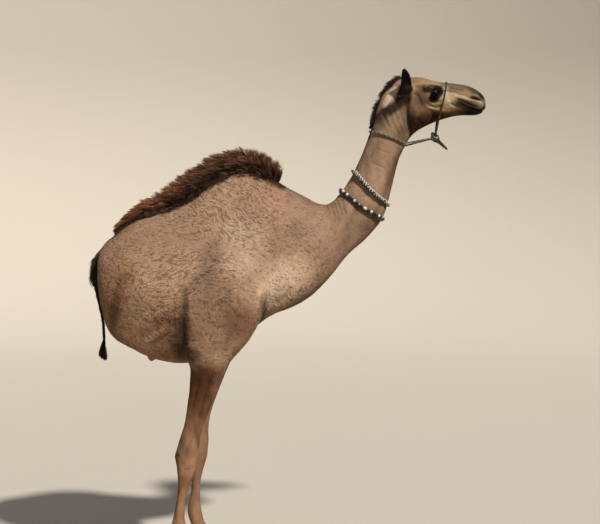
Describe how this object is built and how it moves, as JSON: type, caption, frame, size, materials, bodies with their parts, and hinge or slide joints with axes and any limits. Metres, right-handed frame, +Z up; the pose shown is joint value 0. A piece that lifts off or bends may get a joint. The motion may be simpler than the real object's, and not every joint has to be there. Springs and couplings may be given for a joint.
{
  "type": "camel museum figure",
  "caption": "Life-size one-humped camel figure in a still side-on stance, standing on its forelegs only with a closed round rump, haltered, on a flat display base.",
  "frame": {"origin": "middle of the display base's underside", "axes": "+X is the way the camel faces, +Y is its left side, +Z is up"},
  "size_m": [2.1363, 0.8, 2.5451],
  "materials": {
    "coat": "short matte fur, tan on the body and face, darker on the legs and belly",
    "dark_hair": "long shaggy hair",
    "eye": "wet gloss",
    "nail": "dull horn",
    "rope": "twisted fibre",
    "beads": "light and dark beads on a cord",
    "base": "matte paint"
  },
  "bodies": {
    "root": {"trunk": "coat", "hump": "coat", "neck_lower": "coat", "neck_upper": "coat", "head": "coat", "ear_left": "coat", "ear_right": "coat", "forearm_left": "coat", "forearm_right": "coat", "cannon_left": "coat", "cannon_right": "coat", "foot_left": "coat", "foot_right": "coat", "eye_left": "eye", "eye_right": "eye", "nail_left_a": "nail", "nail_left_b": "nail", "nail_right_a": "nail", "nail_right_b": "nail", "hump_mane": "dark_hair", "nape_mane": "dark_hair", "tail": "dark_hair", "tail_tuft": "dark_hair", "halter": "rope", "necklace_upper": "beads", "necklace_lower": "beads", "stand_base": "base"}
  },
  "joints": []
}
